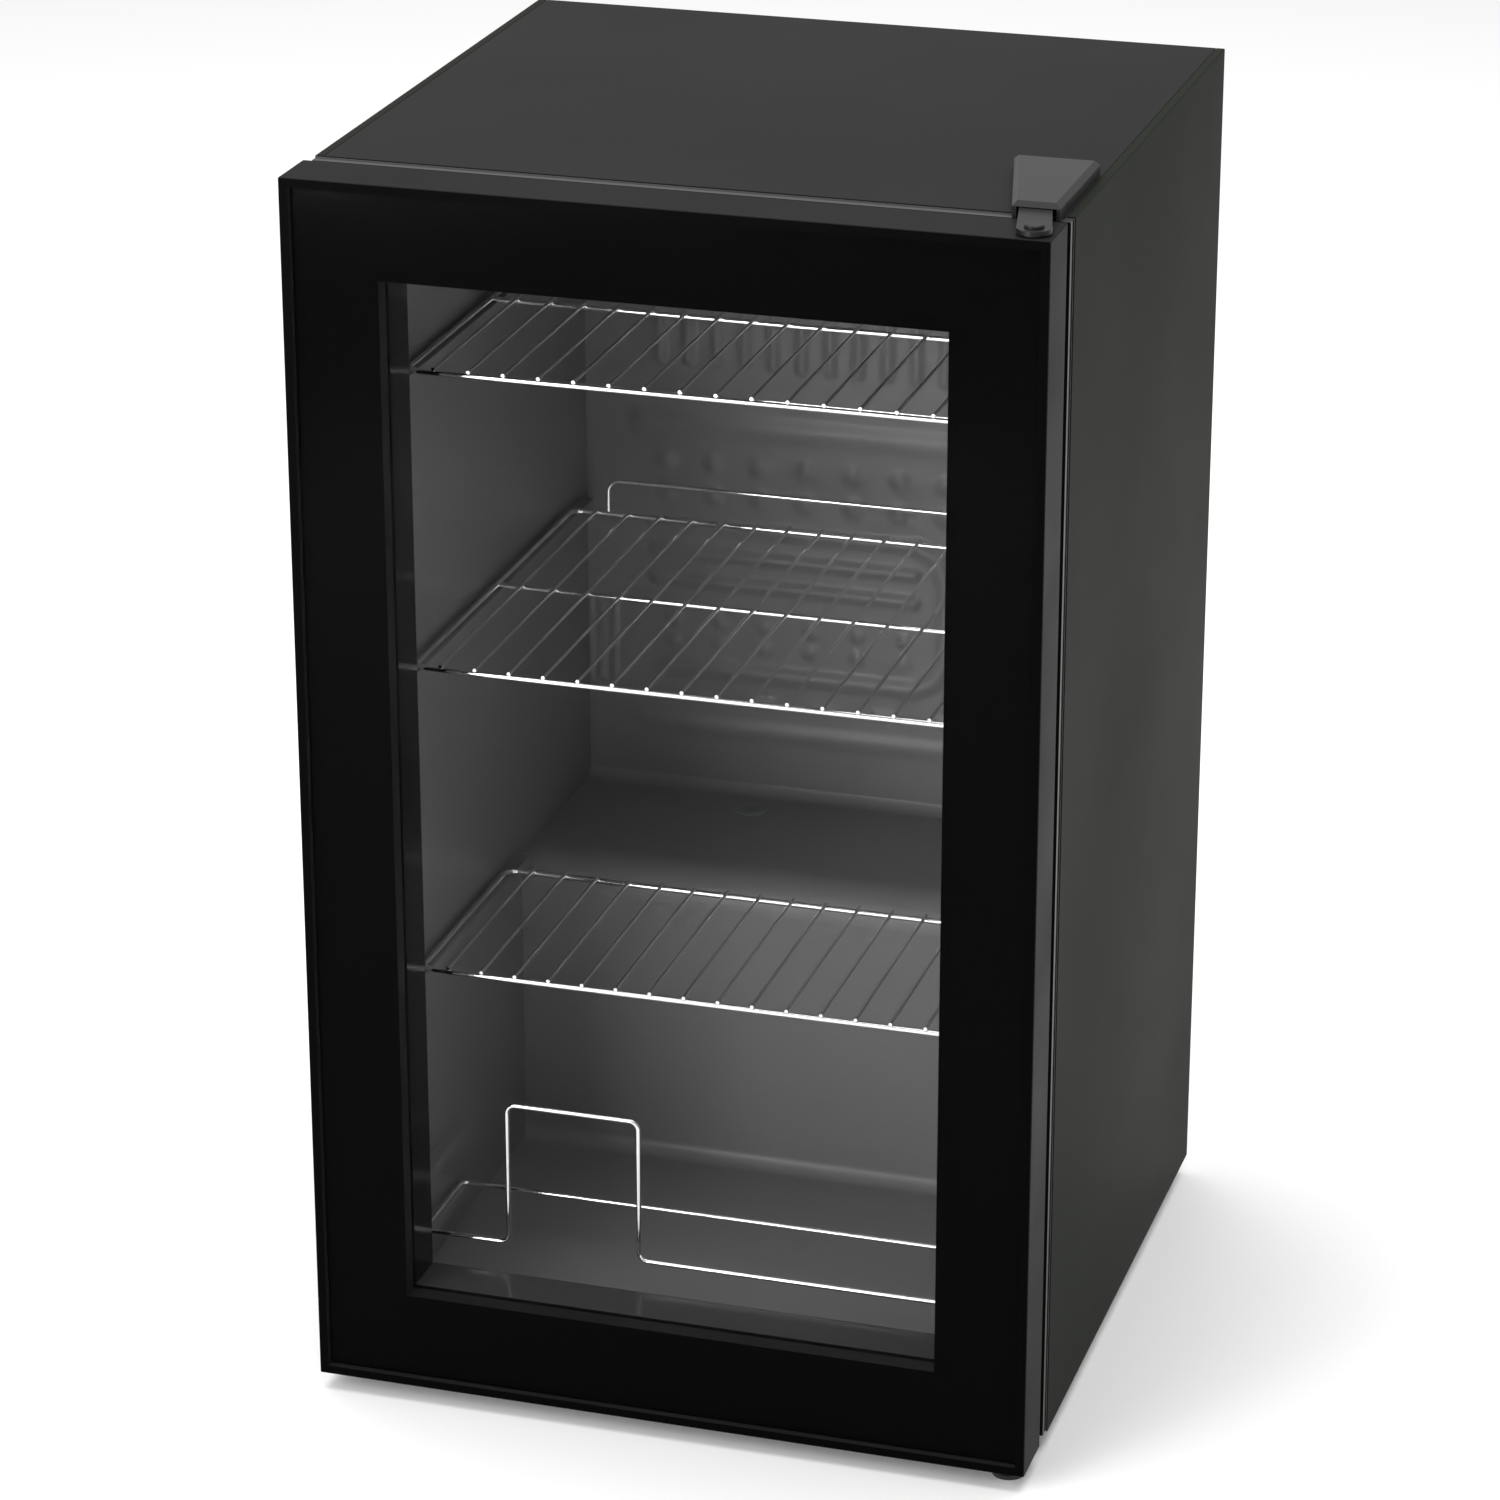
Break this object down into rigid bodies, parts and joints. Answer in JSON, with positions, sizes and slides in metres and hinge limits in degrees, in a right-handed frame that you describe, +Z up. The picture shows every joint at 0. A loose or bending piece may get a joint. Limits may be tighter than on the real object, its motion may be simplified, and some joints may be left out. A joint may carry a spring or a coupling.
{
  "type": "glass door merchandiser",
  "caption": "Compact black refrigerated display cooler with a hinged clear glass door, chrome wire shelves, a bottle rack and a rear compressor bay.",
  "frame": {"origin": "centre of the footprint, on the floor under the feet", "axes": "+Z up; -Y out of the glass door; +X towards the hinge side, the viewer's right when facing the door"},
  "size_m": [0.47, 0.495, 0.8195],
  "materials": {
    "case_black": "satin",
    "door_black": "satin",
    "clear_glass": "gloss",
    "liner_grey": "satin",
    "foam_cream": "matte",
    "chrome_wire": "polished",
    "seal_black": "matte",
    "magnet_strip": "matte",
    "zinc_steel": "satin",
    "bracket_black": "satin",
    "compressor_black": "gloss",
    "condenser_black": "satin",
    "copper": "satin",
    "aluminium": "satin",
    "acetal_bush": "matte",
    "control_grey": "satin",
    "control_black": "gloss",
    "lens_clear": "satin",
    "board_white": "satin",
    "drain_grey": "satin",
    "hinge_grey": "gloss",
    "foot_black": "matte",
    "grommet": "matte"
  },
  "bodies": {
    "cabinet": {"side_panel_left": "case_black", "side_panel_right": "case_black", "top_panel": "case_black", "back_panel": "case_black", "base_plate": "zinc_steel", "bay_panel": "zinc_steel", "front_frame": "door_black", "inner_liner": "liner_grey", "cabinet_foam": "foam_cream", "evaporator_plate": "aluminium", "drain_fitting": "drain_grey", "drain_hose": "grommet", "bottle_rack": "chrome_wire", "control_housing": "control_grey", "thermostat_body": "control_black", "switch_body": "control_black", "lamp_lens": "lens_clear", "lamp_board": "board_white", "top_hinge_bracket": "bracket_black", "top_hinge_pin": "zinc_steel", "top_hinge_screws": "zinc_steel", "hinge_cover": "hinge_grey", "bottom_hinge_bracket": "bracket_black", "bottom_hinge_pin": "zinc_steel", "hinge_washer": "acetal_bush", "bottom_hinge_screws": "zinc_steel", "foot_nuts": "zinc_steel", "back_feet": "foot_black", "compressor": "compressor_black", "compressor_plate": "zinc_steel", "compressor_mounts": "grommet", "compressor_bolts": "zinc_steel", "terminal_box": "control_black", "drip_tray": "drain_grey", "cord_gland": "grommet", "condenser_tube": "condenser_black", "condenser_wires": "condenser_black", "condenser_brackets": "foot_black", "back_panel_screws": "zinc_steel", "discharge_tube": "copper", "filter_drier": "copper", "capillary_tube": "copper", "suction_tube": "copper"},
    "door": {"door_frame": "door_black", "front_glass": "clear_glass", "glass_spacer": "aluminium", "inner_glass": "clear_glass", "door_inner_frame": "door_black", "door_gasket": "seal_black", "gasket_magnet": "magnet_strip", "top_hinge_bush": "acetal_bush", "bottom_hinge_bush": "acetal_bush"},
    "dial": {"thermostat_dial": "control_black"},
    "rocker": {"light_switch": "control_black"},
    "upper_shelf": {"shelf_upper": "chrome_wire"},
    "middle_shelf": {"shelf_middle": "chrome_wire"},
    "lower_shelf": {"shelf_lower": "chrome_wire"},
    "left_foot": {"levelling_foot_left": "foot_black"},
    "right_foot": {"levelling_foot_right": "foot_black"}
  },
  "joints": [
    {"name": "door_hinge", "type": "hinge", "parent": "cabinet", "child": "door", "pos_m": [0.222, -0.2345, 0.4], "axis": [0, 0, 1], "range_deg": [0, 110]},
    {"name": "thermostat_turn", "type": "hinge", "parent": "cabinet", "child": "dial", "pos_m": [0.029, -0.1555, 0.754], "axis": [0, 1, 0], "range_deg": [0, 280]},
    {"name": "light_switch_rock", "type": "hinge", "parent": "cabinet", "child": "rocker", "pos_m": [0.075, -0.1515, 0.754], "axis": [1, 0, 0], "range_deg": [0, 16]},
    {"name": "upper_shelf_slide", "type": "slide", "parent": "cabinet", "child": "upper_shelf", "axis": [0, -1, 0], "range_m": [0, 0.02]},
    {"name": "middle_shelf_slide", "type": "slide", "parent": "cabinet", "child": "middle_shelf", "axis": [0, -1, 0], "range_m": [0, 0.02]},
    {"name": "lower_shelf_slide", "type": "slide", "parent": "cabinet", "child": "lower_shelf", "axis": [0, -1, 0], "range_m": [0, 0.02]},
    {"name": "left_foot_screw", "type": "slide", "parent": "cabinet", "child": "left_foot", "axis": [0, 0, -1], "range_m": [0, 0.008]},
    {"name": "right_foot_screw", "type": "slide", "parent": "cabinet", "child": "right_foot", "axis": [0, 0, -1], "range_m": [0, 0.008]}
  ]
}
